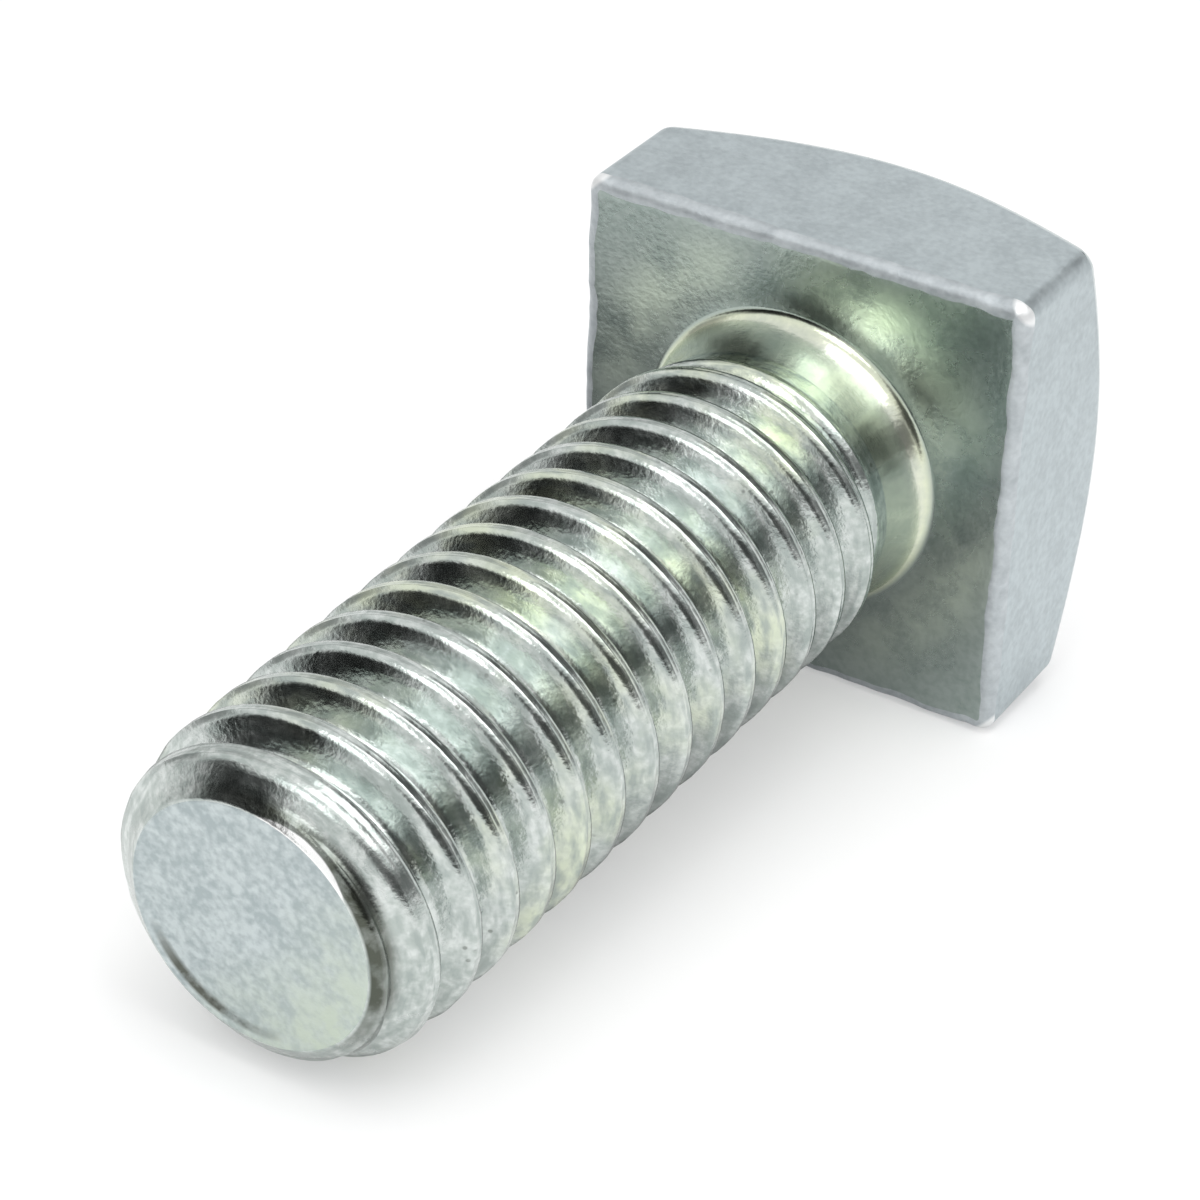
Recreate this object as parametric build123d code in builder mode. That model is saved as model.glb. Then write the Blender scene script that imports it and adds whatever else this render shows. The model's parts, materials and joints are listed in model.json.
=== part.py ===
from build123d import *
from build123d.topology import SkipClean
from math import atan2, cos, degrees, radians, sin, tan
import os

# Square head machine bolt, 3/8 in - 16 by 1 in, lying as it comes to rest: on one edge of its
# head and on a thread crest near the tip. Millimetres, +Z up, the floor at z = 0, the tip
# towards -X. The bolt's own frame has its origin at the centre of the bearing face, with its
# z along the shank towards the tip and its y up, square to one side of the head. Radii too
# small to see from a step away are drawn as the flats across them, to keep the mesh light.

# Head
across_flats = 14.0
head_height = 5.9
corner_flat_leg = 0.35
bearing_edge_chamfer = 0.25
crown_flat_diameter = 13.0
crown_chamfer_angle = 31.0

# Shank: the neck is the rolling blank, so it is slimmer than the thread's crests
shank_length = 25.4
neck_diameter = 8.26
neck_length = 2.3
neck_shoulder_length = 0.9
under_head_flare = 0.42

# Thread: right-hand, 60 degrees between its flanks at the pitch line
threads_per_inch = 16
major_diameter = 9.30
pitch_diameter = 8.40
root_diameter = 7.58
flank_angle = 30.0
thread_start_angle = 110.0
run_out_turns = 0.5

# Tip: a chamfer, then a slow taper of the first crests
end_disc_diameter = 6.9
tip_chamfer_diameter = 8.7
tip_chamfer_length = 0.65
lead_taper_length = 2.1

# How the turned faces are divided: the crest is short patches, the groove short spans
patches_per_turn = 6
cutter_clearance = 0.12

pitch = 25.4 / threads_per_inch
half_flats = across_flats / 2
crest_radius = major_diameter / 2
root_radius = root_diameter / 2
neck_radius = neck_diameter / 2
patch_angle = 360 / patches_per_turn


def groove_height(angle):
    """Where the groove's middle stands along the shank, one turn or less from the tip."""
    return shank_length + pitch * (angle - thread_start_angle) / 360


def outline_radius(height):
    """The shank's radius before threading, where the lead taper narrows it towards the chamfer."""
    taper_length = lead_taper_length - tip_chamfer_length
    along_taper = (height - shank_length + lead_taper_length) / taper_length
    taper_depth = crest_radius - tip_chamfer_diameter / 2
    return crest_radius - taper_depth * max(along_taper, 0)


# Of the crests under the shank, the one that the tilting bolt meets first carries the tip's end.
crests_under_tip = [groove_height(-90.0) - pitch * (turn + 0.5) for turn in range(3)]
rest_tilt = min(
    atan2(half_flats - outline_radius(height), height + bearing_edge_chamfer)
    for height in crests_under_tip
)

end_disc_reach = shank_length * cos(rest_tilt) + end_disc_diameter / 2 * sin(rest_tilt)
crown_reach = head_height * cos(rest_tilt) + crown_flat_diameter / 2 * sin(rest_tilt)
axis_height = half_flats * cos(rest_tilt) - bearing_edge_chamfer * sin(rest_tilt)
bolt_frame = Plane(
    origin=((end_disc_reach - crown_reach) / 2, 0, axis_height),
    x_dir=(0, -1, 0),
    z_dir=(-cos(rest_tilt), 0, -sin(rest_tilt)),
)
bolt_axis = Axis(bolt_frame.origin, bolt_frame.z_dir)


def axial_plane(angle, radius=0.0, height=0.0):
    """A plane through the bolt's axis: x points outwards at the angle, y along the axis."""
    turned = bolt_frame.location * Location((0, 0, height), (0, 0, angle))
    return Plane(turned * Location((radius, 0, 0), (90, 0, 0)))


def crown_cone():
    """The turned body that trims the head's four crown corners."""
    cone_radius = across_flats
    cone_drop = (cone_radius - crown_flat_diameter / 2) * tan(radians(crown_chamfer_angle))
    with BuildSketch(axial_plane(0)) as profile:
        with BuildLine():
            Polyline(
                (0, -head_height),
                (crown_flat_diameter / 2, -head_height),
                (cone_radius, cone_drop - head_height),
                (cone_radius, head_height),
                (0, head_height),
                close=True,
            )
        make_face()
    return profile.sketch


def shank_profile(angle):
    """Half of the shank before threading, from the flare under the head to the end disc."""
    with BuildSketch(axial_plane(angle)) as profile:
        Polygon(
            (0, 0),
            (neck_radius + under_head_flare, 0),
            (neck_radius, under_head_flare),
            (neck_radius, neck_length),
            (crest_radius, neck_length + neck_shoulder_length),
            (crest_radius, shank_length - lead_taper_length),
            (tip_chamfer_diameter / 2, shank_length - tip_chamfer_length),
            (end_disc_diameter / 2, shank_length),
            (0, shank_length),
            align=None,
        )
    return profile.sketch


def groove_form(angle, radius, height):
    """The thread groove's section: a V from the edges of the crest to the bottom of the root."""
    half_at_pitch_line = pitch / 4
    half_at_crest = half_at_pitch_line + (crest_radius - pitch_diameter / 2) * tan(radians(flank_angle))
    depth = crest_radius - root_radius
    half_outside = half_at_crest * (1 + cutter_clearance / depth)
    with BuildSketch(axial_plane(angle, radius, height)) as form:
        Polygon(
            (cutter_clearance, half_outside),
            (cutter_clearance, -half_outside),
            (-depth, 0),
            align=None,
        )
    return form.sketch


def helix_angle(height):
    """The groove's angle round the shank at a height along it."""
    return thread_start_angle + 360 * (height - shank_length) / pitch


def helix_span(start, height, radius, cone_angle=0.0):
    """A stretch of right-hand helix from a height down towards the head, in the groove's phase."""
    slant_pitch = pitch / cos(radians(cone_angle))
    span = Edge.make_helix(slant_pitch, height, radius, angle=cone_angle)
    start_turn = Location((0, 0, start), (0, 0, helix_angle(start)))
    return span.moved(bolt_frame.location * start_turn * Location((0, 0, 0), (180, 0, 0)))


with SkipClean():
    with BuildPart() as square_head_bolt:
        # Head: a square with softened corners, its crown side turned off by a cone
        with BuildSketch(bolt_frame) as head_outline:
            Rectangle(across_flats, across_flats)
            chamfer(head_outline.vertices(), corner_flat_leg)
        extrude(amount=-head_height)
        revolve(crown_cone(), axis=bolt_axis, mode=Mode.INTERSECT)
        bearing_face = square_head_bolt.faces().sort_by(bolt_axis)[-1]
        chamfer(bearing_face.edges(), bearing_edge_chamfer)

        # Shank before threading, turned in sectors that match the groove's spans
        for patch in range(patches_per_turn):
            revolve(
                shank_profile(thread_start_angle + patch * patch_angle),
                axis=bolt_axis,
                revolution_arc=-patch_angle,
                clean=False,
            )

        # Thread groove: from past the tip it runs in short spans of one helix towards the head,
        # and there it climbs out of the neck on a cone
        span_height = pitch / patches_per_turn
        groove_end = shank_length + 1.5 * pitch
        spans = int((groove_end - neck_length - pitch / 4) / span_height)
        full_depth_start = groove_end - spans * span_height
        run_out_height = run_out_turns * pitch
        run_out_lift = neck_radius - root_radius + cutter_clearance
        run_out_cone = degrees(atan2(run_out_lift, run_out_height))
        groove_path = Wire([
            helix_span(groove_end - span * span_height, span_height, crest_radius)
            for span in range(spans)
        ] + [helix_span(full_depth_start, run_out_height, crest_radius, run_out_cone)])
        sweep(
            groove_form(helix_angle(groove_end), crest_radius, groove_end),
            path=groove_path,
            is_frenet=True,
            mode=Mode.SUBTRACT,
            clean=False,
        )

bolt_box = square_head_bolt.part.bounding_box()
print("tilt at rest", round(degrees(rest_tilt), 3), "degrees")
print("bearing face centre", bolt_frame.origin, "axis", bolt_frame.z_dir)
print("box", bolt_box.min, bolt_box.max)
print("faces", len(square_head_bolt.faces()), "volume", round(square_head_bolt.part.volume, 2))

os.makedirs("parts", exist_ok=True)
square_head_bolt.part.label = "square_head_bolt"
export_step(square_head_bolt.part, "parts/square_head_bolt.step")
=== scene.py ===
# %% [markdown]
# # A square head bolt, dressed for its portrait
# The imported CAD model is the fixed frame: it says where the bolt lies and how big it is. This script
# puts a finer skin over it. The skin keeps to the solid's size, and adds what a maker would see up
# close: a rounded thread root, soft forged edges and bright zinc plate.

import json
from math import atan2, cos, hypot, pi, radians, sin, sqrt, tan

import bmesh
import bpy
from mathutils import Matrix, Vector, noise


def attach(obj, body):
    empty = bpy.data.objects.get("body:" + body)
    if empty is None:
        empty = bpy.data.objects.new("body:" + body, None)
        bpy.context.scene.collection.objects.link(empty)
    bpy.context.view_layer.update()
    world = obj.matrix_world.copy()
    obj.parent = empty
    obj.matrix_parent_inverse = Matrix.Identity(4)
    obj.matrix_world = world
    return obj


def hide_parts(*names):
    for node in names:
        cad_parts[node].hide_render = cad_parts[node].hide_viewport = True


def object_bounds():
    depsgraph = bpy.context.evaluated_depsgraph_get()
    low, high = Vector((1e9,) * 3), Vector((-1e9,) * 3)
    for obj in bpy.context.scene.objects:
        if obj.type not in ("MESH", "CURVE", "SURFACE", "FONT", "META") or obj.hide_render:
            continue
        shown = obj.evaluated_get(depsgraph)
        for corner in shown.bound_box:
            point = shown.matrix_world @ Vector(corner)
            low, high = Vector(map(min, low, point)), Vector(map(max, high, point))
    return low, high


MM = 0.001
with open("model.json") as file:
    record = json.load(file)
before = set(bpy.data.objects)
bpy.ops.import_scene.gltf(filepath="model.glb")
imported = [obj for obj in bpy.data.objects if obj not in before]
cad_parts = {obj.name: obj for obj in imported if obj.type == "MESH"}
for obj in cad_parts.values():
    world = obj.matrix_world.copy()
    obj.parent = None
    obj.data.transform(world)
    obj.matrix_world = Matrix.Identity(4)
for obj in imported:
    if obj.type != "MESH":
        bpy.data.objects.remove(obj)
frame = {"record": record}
cad_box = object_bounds()
print("packed bolt, box in mm:", [[round(v / MM, 3) for v in corner] for corner in cad_box])

# %% [markdown]
# ## The bolt's own frame
# The bolt lies tilted, on one edge of its head and on a crest near its tip. Its sizes are easiest to
# write upright, so every form below is drawn round a vertical axis: z = 0 is the bearing face, the tip
# is at the top, and the head hangs below. The record's mount on the bearing face gives the place and
# the direction of that axis, so one matrix lays the finished mesh down where the solid lies.

# %% Find the bolt's frame from the bearing face mount
bearing_mount = next(m for m in frame["record"]["mounts"] if m["name"] == "bearing_face")
axis_z = Vector(bearing_mount["axis"]).normalized()
axis_x = Vector((0, -1, 0))
axis_y = axis_z.cross(axis_x)
lay_down = Matrix((axis_x, axis_y, axis_z)).transposed().to_4x4()
lay_down.translation = Vector(bearing_mount["pos_m"])
print("bearing face at", [round(v / MM, 3) for v in lay_down.translation], "mm")

# %% [markdown]
# ## The rolled thread
# A thread is one groove that winds round the shank. It is rolled, not cut: two dies press the groove
# in and the metal flows up into the crests. It could be swept along a helix, but its end at the tip
# and its run-out into the neck would then need cutting. A rule does it better: at every height and
# angle, the distance to the middle of the groove gives the radius. Geometry Nodes bend a flat grid by
# that rule. The sizes are the solid's own, for a 3/8 inch bolt with sixteen threads to the inch. Only
# the root differs: the solid's is sharp, and here it is round and reaches a hair deeper.

# %% Write down the shank's sizes
SHANK = 25.4 * MM
PITCH = 25.4 / 16 * MM
NECK_R = 8.26 / 2 * MM
END_R = 6.9 / 2 * MM
THREAD_SIZES = {
    "Pitch": PITCH, "Shank Length": SHANK, "Crest Radius": 9.30 / 2 * MM, "Pitch Radius": 8.40 / 2 * MM,
    "Root Radius": 7.50 / 2 * MM, "Neck Radius": NECK_R, "Neck Top": 2.3 * MM, "Shoulder Top": 3.2 * MM,
    "Taper Start": SHANK - 2.1 * MM, "Chamfer Start": SHANK - 0.65 * MM, "Chamfer Radius": 8.7 / 2 * MM,
    "End Radius": END_R, "First Row": 1.7 * MM, "Last Row": SHANK - 0.14 * MM,
    "Groove Opens At": 110.0 / 360, "Crest Softness": 0.045 * MM, "Seam Depth": 0.012 * MM,
    "Ragged Depth": 0.030 * MM, "Ragged Size": 0.40 * MM,
}
print("pitch", round(PITCH / MM, 4), "mm,", round(SHANK / PITCH, 1), "pitches in the shank")

# %% A small helper for drawing node trees
class Tree:
    """Adds math nodes to a node tree, so that a rule reads like a sum."""

    def __init__(self, tree):
        self.nodes = tree.nodes
        self.links = tree.links

    def feed(self, socket, value):
        if isinstance(value, bpy.types.NodeSocket):
            self.links.new(value, socket)
        else:
            socket.default_value = value

    def math(self, operation, *values):
        node = self.nodes.new("ShaderNodeMath")
        node.operation = operation
        for socket, value in zip(node.inputs, values):
            self.feed(socket, value)
        return node.outputs[0]

    def ramp(self, value, start, end, low, high):
        """A straight climb from low to high, level before the start and past the end."""
        node = self.nodes.new("ShaderNodeMapRange")
        node.clamp = True
        for name, part in (("Value", value), ("From Min", start), ("From Max", end),
                           ("To Min", low), ("To Max", high)):
            self.feed(node.inputs[name], part)
        return node.outputs["Result"]


print("helper ready")

# %% Start the thread's tree, with its sizes as named inputs
thread_tree = bpy.data.node_groups.new("rolled thread", "GeometryNodeTree")
thread_tree.interface.new_socket("Geometry", in_out="OUTPUT", socket_type="NodeSocketGeometry")
thread_tree.interface.new_socket("Material", in_out="INPUT", socket_type="NodeSocketMaterial")
for size_name in THREAD_SIZES:
    thread_tree.interface.new_socket(size_name, in_out="INPUT", socket_type="NodeSocketFloat")
t = Tree(thread_tree)
given = t.nodes.new("NodeGroupInput").outputs
pitch = given["Pitch"]
print("inputs of the thread tree:", len(THREAD_SIZES) + 1)

# %% [markdown]
# ### The grid that becomes the shank
# Each column of the grid stands at one angle round the axis. Level rows would be the simplest, but they
# cut across the crests and leave them jagged. These rows climb with the helix, so each one stays on its
# crest or in its root, and they crowd together there, where the form is tightest. Rows past either end
# of the shank are pressed flat there, and merged away at the end.

# %% Lay out the grid, and find each point's turn and height
COLUMNS = 288
ROWS_PER_PITCH = 16
TURNS = 18
TURNS_PAST_TIP = 2
ROW_CROWDING = 0.55

grid = t.nodes.new("GeometryNodeMeshGrid")
grid.inputs["Size X"].default_value = 1.0
grid.inputs["Size Y"].default_value = 1.0
grid.inputs["Vertices X"].default_value = COLUMNS + 1
grid.inputs["Vertices Y"].default_value = TURNS * ROWS_PER_PITCH + 1
place = t.nodes.new("ShaderNodeSeparateXYZ")
t.links.new(t.nodes.new("GeometryNodeInputPosition").outputs[0], place.inputs[0])
turn = t.math("ADD", place.outputs["X"], 0.5)
row = t.math("MULTIPLY", t.math("ADD", place.outputs["Y"], 0.5), float(TURNS))
crowding = t.math("MULTIPLY", t.math("SINE", t.math("MULTIPLY", row, 4 * pi)), -ROW_CROWDING / (4 * pi))
step = t.math("ADD", row, crowding)
climb = t.math("ADD", t.math("SUBTRACT", step, TURNS - TURNS_PAST_TIP), turn)
free_height = t.math("ADD", t.math("MULTIPLY", climb, pitch), given["Shank Length"])
free_height = t.math("SUBTRACT", free_height, t.math("MULTIPLY", given["Groove Opens At"], pitch))
height = t.math("MINIMUM", t.math("MAXIMUM", free_height, given["First Row"]), given["Last Row"])
print("grid:", COLUMNS, "columns,", TURNS * ROWS_PER_PITCH, "rows")

# %% [markdown]
# ### The groove
# The groove has 60 degree flanks and a round root between them. The distance from the middle of its
# nearest turn tells whether a point is on the flank or in the root, and how deep. At the neck the groove
# doesn't stop short: the dies lift out over half a turn, so it grows shallow there and fades away.

# %% Find the nearest turn of the groove
phase = t.math("DIVIDE", t.math("SUBTRACT", height, given["Shank Length"]), pitch)
phase = t.math("SUBTRACT", t.math("ADD", phase, given["Groove Opens At"]), turn)
nearest = t.math("FLOOR", t.math("ADD", phase, 0.5))
offset = t.math("MULTIPLY", t.math("SUBTRACT", phase, nearest), pitch)
away = t.math("ABSOLUTE", offset)
groove_at = t.math("SUBTRACT", height, offset)
print("groove found:", len(thread_tree.nodes), "nodes so far")

# %% Give the groove its flanks, its round root and its run-out
DEEP_FROM_PITCHES = 0.33
LIFTED_OUT_BY = 0.12 * MM

flank = t.math("SUBTRACT", away, t.math("MULTIPLY", pitch, 0.25))
flank = t.math("ADD", t.math("MULTIPLY", flank, sqrt(3)), given["Pitch Radius"])
sharp = t.math("SUBTRACT", given["Pitch Radius"], t.math("MULTIPLY", pitch, sqrt(3) / 4))
round_r = t.math("SUBTRACT", given["Root Radius"], sharp)
inside = t.math("SUBTRACT", t.math("MULTIPLY", round_r, round_r), t.math("MULTIPLY", away, away))
bowl = t.math("SQRT", t.math("MAXIMUM", inside, 0.0))
bowl = t.math("SUBTRACT", t.math("ADD", sharp, t.math("MULTIPLY", round_r, 2.0)), bowl)
in_bowl = t.math("LESS_THAN", away, t.math("MULTIPLY", round_r, sqrt(3) / 2))
groove = t.math("ADD", t.math("MULTIPLY", bowl, in_bowl),
                t.math("MULTIPLY", flank, t.math("SUBTRACT", 1.0, in_bowl)))

half_turn = t.math("MULTIPLY", pitch, 0.5)
deep_from = t.math("ADD", given["Neck Top"], t.math("MULTIPLY", pitch, DEEP_FROM_PITCHES))
lift = t.math("ADD", t.math("SUBTRACT", given["Neck Radius"], given["Root Radius"]), LIFTED_OUT_BY)
lift = t.ramp(groove_at, t.math("SUBTRACT", deep_from, half_turn), deep_from, lift, 0.0)
groove = t.math("ADD", groove, lift)
print("groove drawn:", len(thread_tree.nodes), "nodes so far")

# %% [markdown]
# ### The blank between the grooves
# Where there is no groove, the blank's own outline shows: neck, shoulder, full thread, lead taper and
# chamfer, all of them straight runs. Rolled crests are never quite even, so a fine noise eats into them,
# and a hairline seam runs along each one where the two folds of metal don't quite close. The skin
# follows whichever is lower, the groove or the blank. A smooth minimum rounds the edge between them.

# %% Draw the blank's outline
outline = t.ramp(height, given["Neck Top"], given["Shoulder Top"], given["Neck Radius"],
                 given["Crest Radius"])
taper = t.ramp(height, given["Taper Start"], given["Chamfer Start"], given["Crest Radius"],
               given["Chamfer Radius"])
outline = t.math("MINIMUM", outline, taper)
cut_back = t.math("SUBTRACT", given["Chamfer Radius"], given["End Radius"])
outline = t.math("SUBTRACT", outline,
                 t.ramp(height, given["Chamfer Start"], given["Shank Length"], 0.0, cut_back))
print("blank drawn:", len(thread_tree.nodes), "nodes so far")

# %% Wear the crests, and find the skin's radius
SEAM_WIDTH = 0.05 * MM

seam = t.math("SUBTRACT", half_turn, away)
seam = t.ramp(seam, 0.0, SEAM_WIDTH, given["Seam Depth"], 0.0)
full = t.math("GREATER_THAN", height, given["Shoulder Top"])
angle = t.math("MULTIPLY", turn, 2 * pi)
around = t.nodes.new("ShaderNodeCombineXYZ")
t.feed(around.inputs["X"], t.math("MULTIPLY", given["Crest Radius"], t.math("COSINE", angle)))
t.feed(around.inputs["Y"], t.math("MULTIPLY", given["Crest Radius"], t.math("SINE", angle)))
t.feed(around.inputs["Z"], height)
ragged = t.nodes.new("ShaderNodeTexNoise")
t.feed(ragged.inputs["Vector"], around.outputs[0])
t.feed(ragged.inputs["Scale"], t.math("DIVIDE", 1.0, given["Ragged Size"]))
outline = t.math("SUBTRACT", outline, t.math("MULTIPLY", ragged.outputs[0], given["Ragged Depth"]))
outline = t.math("SUBTRACT", outline, t.math("MULTIPLY", seam, full))
radius = t.math("SMOOTH_MIN", groove, outline, given["Crest Softness"])
print("radius drawn:", len(thread_tree.nodes), "nodes so far")

# %% Bend the grid, and end the tree
MERGE_WITHIN = 0.001 * MM

point = t.nodes.new("ShaderNodeCombineXYZ")
t.feed(point.inputs["X"], t.math("MULTIPLY", radius, t.math("COSINE", angle)))
t.feed(point.inputs["Y"], t.math("MULTIPLY", radius, t.math("SINE", angle)))
t.feed(point.inputs["Z"], height)
bend = t.nodes.new("GeometryNodeSetPosition")
t.links.new(grid.outputs["Mesh"], bend.inputs["Geometry"])
t.links.new(point.outputs[0], bend.inputs["Position"])
merge = t.nodes.new("GeometryNodeMergeByDistance")
merge.inputs["Distance"].default_value = MERGE_WITHIN
realize = t.nodes.new("GeometryNodeRealizeInstances")
dress = t.nodes.new("GeometryNodeSetMaterial")
result = t.nodes.new("NodeGroupOutput")
for before, after in ((bend, merge), (merge, realize), (realize, dress), (dress, result)):
    t.links.new(before.outputs[0], after.inputs[0])
t.links.new(given["Material"], dress.inputs["Material"])
print("thread tree:", len(thread_tree.nodes), "nodes")

# %% Run the tree and keep the thread as a plain mesh
bare_steel = bpy.data.materials.new("bare steel")


def plain_result(carrier_name, tree, inputs):
    """Runs a node tree on an empty mesh and returns what it makes as a plain mesh."""
    carrier = bpy.data.objects.new(carrier_name, bpy.data.meshes.new(carrier_name))
    bpy.context.scene.collection.objects.link(carrier)
    modifier = carrier.modifiers.new(tree.name, "NODES")
    modifier.node_group = tree
    identifiers = {s.name: s.identifier for s in tree.interface.items_tree if s.in_out == "INPUT"}
    for name, value in inputs.items():
        modifier[identifiers[name]] = value
    shown = carrier.evaluated_get(bpy.context.evaluated_depsgraph_get())
    mesh = bpy.data.meshes.new_from_object(shown)
    carrier.modifiers.remove(modifier)
    bpy.data.objects.remove(carrier)
    return mesh


thread_mesh = plain_result("thread", thread_tree, {**THREAD_SIZES, "Material": bare_steel})
print("thread:", len(thread_mesh.vertices), "vertices,", len(thread_mesh.polygons), "faces")

# %% [markdown]
# ## Rings for the rest of the bolt
# The tip and the neck are rings round the axis. The head is forged: a square block whose crown corners
# are trimmed by a cone. A cube with bevels would do for the head, but it would have to be joined to the
# shank. Here all of it is drawn as rings: outwards over the bearing face, round its soft edge, along the
# sides and in over the crown. Each ring has as many points as the thread has columns, so the whole bolt
# closes into one skin. Each face notes its zone, because each zone gets its own finish.

# %% Start the skin with the thread, zone by zone
ZONES = ["thread", "neck", "bearing face", "edge", "sides", "crown cone", "crown flat", "chamfer",
         "cut end"]
skin = bmesh.new()
skin.from_mesh(thread_mesh)
for face in skin.faces:
    at_tip = face.calc_center_median().z > SHANK - PITCH
    face.material_index = ZONES.index("chamfer" if at_tip else "thread")
print("skin starts with", len(skin.faces), "faces")

# %% Helpers that add rings to the skin
def open_rim(height):
    """The thread's open rim at a height, in the order of its columns."""
    rim = [v for v in skin.verts if v.is_boundary and abs(v.co.z - height) < MERGE_WITHIN]
    return sorted(rim, key=lambda v: round(atan2(v.co.y, v.co.x) / (2 * pi) * COLUMNS) % COLUMNS)


def add_ring(before, points, zone):
    """Adds a ring of points after another and skins the strip between them."""
    ring = [skin.verts.new(p) for p in points]
    for i in range(COLUMNS):
        strip = skin.faces.new((before[i - 1], before[i], ring[i], ring[i - 1]))
        strip.material_index = ZONES.index(zone)
    return ring


def close_ring(before, middle, zone):
    """Closes a ring with a fan to its middle."""
    pole = skin.verts.new(middle)
    for i in range(COLUMNS):
        skin.faces.new((before[i - 1], before[i], pole)).material_index = ZONES.index(zone)


def circle(radius, height):
    turns = [2 * pi * i / COLUMNS for i in range(COLUMNS)]
    return [Vector((radius * cos(a), radius * sin(a), height)) for a in turns]


def bezier(start, corner, end, share):
    """A point on the round between two straight runs that would meet at the corner."""
    return start.lerp(corner, share).lerp(corner.lerp(end, share), share)


print("ring helpers ready")

# %% [markdown]
# ## The cut end
# The bar was sheared to length before the head was forged, and shears don't leave a flat face: the end
# is slightly dished, and a low lip stands along one side where the metal tore last. A flat disc would
# be quicker and would look like plastic. Rings close together at the rim give the light a soft edge to
# catch, and the lip is a step in height that fades towards the middle.

# %% Round the tip's rim and dish its cut end
RIM_STEPS = 6
RIM_ON_CHAMFER = Vector((END_R + 0.08 * MM, -0.058 * MM))
RIM_ON_END = Vector((END_R - 0.10 * MM, 0.0))
END_SHARES = (0.975, 0.95, 0.93, 0.91, 0.89, 0.86, 0.76, 0.64, 0.5, 0.34, 0.18, 0.06)
DISH_DEPTH = 0.05 * MM
LIP_DEPTH = 0.10 * MM
LIP_SIDE = radians(238)
LIP_R = 3.24 * MM
LIP_WIDTH = 0.20 * MM
LIP_FADE_R = 2.6 * MM


def sheared(point, dish):
    """Lowers a point of the cut end into the dish, and further still inside the lip."""
    reach = hypot(point.x, point.y)
    lip_side = max(cos(atan2(point.y, point.x) - LIP_SIDE), 0.0) ** 2
    inside = min(max((LIP_R - reach) / LIP_WIDTH, 0.0), 1.0)
    fade = min(reach / LIP_FADE_R, 1.0) ** 2
    return Vector((point.x, point.y, point.z - dish - LIP_DEPTH * lip_side * inside * fade))


ring = open_rim(THREAD_SIZES["Last Row"])
print("rim at the tip:", len(ring), "points")
for k in range(RIM_STEPS + 1):
    on_rim = bezier(RIM_ON_CHAMFER, Vector((END_R, 0.0)), RIM_ON_END, k / RIM_STEPS)
    rim_zone = "chamfer" if k <= RIM_STEPS // 2 else "cut end"
    ring = add_ring(ring, circle(on_rim.x, SHANK + on_rim.y), rim_zone)
for share in END_SHARES:
    dish = DISH_DEPTH * (1 - share ** 6)
    ring = add_ring(ring, [sheared(p, dish) for p in circle(RIM_ON_END.x * share, SHANK)], "cut end")
close_ring(ring, Vector((0, 0, SHANK - DISH_DEPTH)), "cut end")
print("cut end:", RIM_STEPS + 1 + len(END_SHARES), "rings")

# %% [markdown]
# ## The neck and the radius under the head
# The neck is a little thinner than the thread, as a blank is before rolling, and a radius runs from it
# into the bearing face, because a sharp corner there would crack. The solid draws a small flat flare in
# that place. Here it is a quarter of an ellipse, longer up the neck than along the face. Its rings start
# with the thread rim's own radii and ease to the neck's, so that no line shows where they join.

# %% Draw the neck and its radius
FILLET_OUT = 0.6 * MM
FILLET_UP = 1.65 * MM
FILLET_STEPS = 13

ring = open_rim(THREAD_SIZES["First Row"])
print("rim at the neck:", len(ring), "points")
rim_directions = [Vector((v.co.x, v.co.y, 0)).normalized() for v in ring]
rim_reaches = [hypot(v.co.x, v.co.y) for v in ring]
for k in range(FILLET_STEPS + 1):
    a = pi / 2 * k / FILLET_STEPS
    flare, height = FILLET_OUT * (1 - cos(a)), FILLET_UP * (1 - sin(a))
    reaches = [r + (NECK_R - r) * k / FILLET_STEPS + flare for r in rim_reaches]
    points = [d * r + Vector((0, 0, height)) for d, r in zip(rim_directions, reaches)]
    ring = add_ring(ring, points, "neck")
print("neck:", FILLET_STEPS + 1, "rings")

# %% [markdown]
# ## The square head
# The head was struck in a die, so its corners and its edge under the head are soft, and that edge wanders
# a little where the metal didn't quite fill the die. A perfect bevel would look machined, so two noises,
# one broad and one fine, change the edge's radius from point to point. On the square, the points of a
# ring crowd together at the corners, where the form turns.

# %% Walk round the square's outline
HALF_FLATS = 7.0 * MM
CORNER_R = 0.5 * MM
CORNER_POINTS = 16
SIDE_POINTS = COLUMNS // 4 - CORNER_POINTS
SIDE_CROWDING = 0.09


def walk_outline():
    """A core point, one corner radius inside the outline, and the way outwards, for each column."""
    reach = HALF_FLATS - CORNER_R
    steps = []
    for side in range(4):
        along = Matrix.Rotation(side * pi / 2, 2)
        for k in range(SIDE_POINTS):
            share = (k + 0.5) / SIDE_POINTS
            eased = share - SIDE_CROWDING * sin(2 * pi * share)
            steps.append((along @ Vector((reach, (2 * eased - 1) * reach)), along @ Vector((1, 0))))
        for k in range(CORNER_POINTS):
            turned = Matrix.Rotation((k + 0.5) / CORNER_POINTS * pi / 2, 2)
            steps.append((along @ Vector((reach, reach)), along @ (turned @ Vector((1, 0)))))
    first = SIDE_POINTS // 2
    return steps[first:] + steps[:first]


outline_walk = walk_outline()
print("outline points:", len(outline_walk))

# %% Give the edge under the head its uneven radius
EDGE_R = 0.4 * MM
MEAN_SHARE, WAVE_SHARE, RIPPLE_SHARE = 0.98, 0.32, 0.20
WAVES_PER_MM, WAVE_SEED = 0.55, 3.1
RIPPLES_PER_MM, RIPPLE_SEED = 2.1, 7.7

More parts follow.
